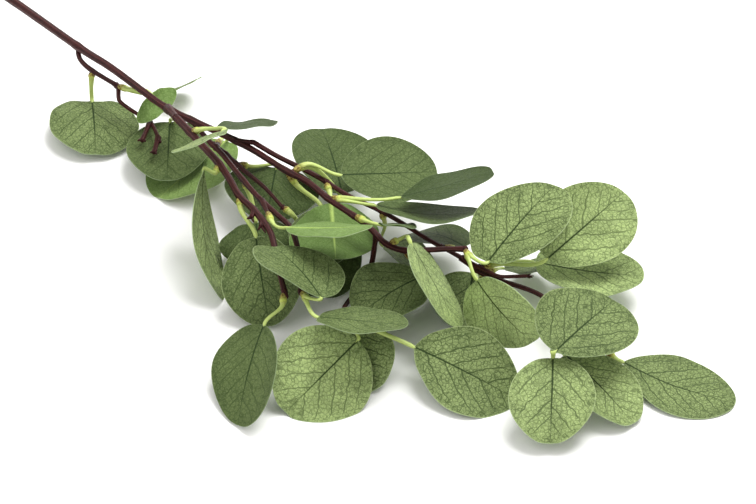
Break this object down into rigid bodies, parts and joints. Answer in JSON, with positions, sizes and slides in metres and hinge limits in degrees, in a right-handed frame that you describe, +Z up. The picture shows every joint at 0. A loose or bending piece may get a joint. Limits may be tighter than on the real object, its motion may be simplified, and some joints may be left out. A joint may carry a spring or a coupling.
{
  "type": "eucalyptus branch",
  "caption": "Cut eucalyptus branch that lies on a surface: a bare woody stem that forks into thin side stems, with round grey-green leaves on short lime-green stalks",
  "frame": {"origin": "Middle of the branch's footprint, on the surface that it lies on", "axes": "+X runs along the branch from the cut end of the main stem to the leafy tips, +Z is up from the surface, +Y is to the left of someone who looks along +X"},
  "size_m": [0.7283, 0.2625, 0.0804],
  "materials": {
    "stem": "dull, dark red-brown",
    "leaf_dark": "matte, shaded grey-green",
    "leaf_green": "matte, grey-green",
    "leaf_sage": "matte, pale sage green"
  },
  "bodies": {
    "root": {"main_stem": "stem", "side_stem_a": "stem", "side_stem_b": "stem", "side_stem_c": "stem", "side_stem_d": "stem", "side_stem_e": "stem", "side_stem_f": "stem", "side_stem_g": "stem", "leaf_a1": "leaf_green", "leaf_a2": "leaf_sage", "leaf_a3": "leaf_green", "leaf_b1": "leaf_sage", "leaf_b2": "leaf_dark", "leaf_b3": "leaf_green", "leaf_b5": "leaf_dark", "leaf_b7": "leaf_green", "leaf_c1": "leaf_sage", "leaf_c2": "leaf_dark", "leaf_c3": "leaf_sage", "leaf_c4": "leaf_dark", "leaf_c5": "leaf_green", "leaf_d1": "leaf_dark", "leaf_d2": "leaf_sage", "leaf_d3": "leaf_green", "leaf_d4": "leaf_green", "leaf_d5": "leaf_sage", "leaf_e1": "leaf_dark", "leaf_e2": "leaf_dark", "leaf_f1": "leaf_green", "leaf_f2": "leaf_green", "leaf_f3": "leaf_green", "leaf_f4": "leaf_sage", "leaf_f5": "leaf_green", "leaf_f6": "leaf_green", "leaf_g1": "leaf_green", "leaf_g2": "leaf_green", "leaf_g3": "leaf_green", "leaf_m1": "leaf_dark", "leaf_m10": "leaf_sage", "leaf_m11": "leaf_sage", "leaf_m2": "leaf_green", "leaf_m3": "leaf_green", "leaf_m4": "leaf_dark", "leaf_m5": "leaf_dark", "leaf_m6": "leaf_green", "leaf_m7": "leaf_dark", "leaf_m8": "leaf_green", "leaf_m9": "leaf_dark"}
  },
  "joints": []
}
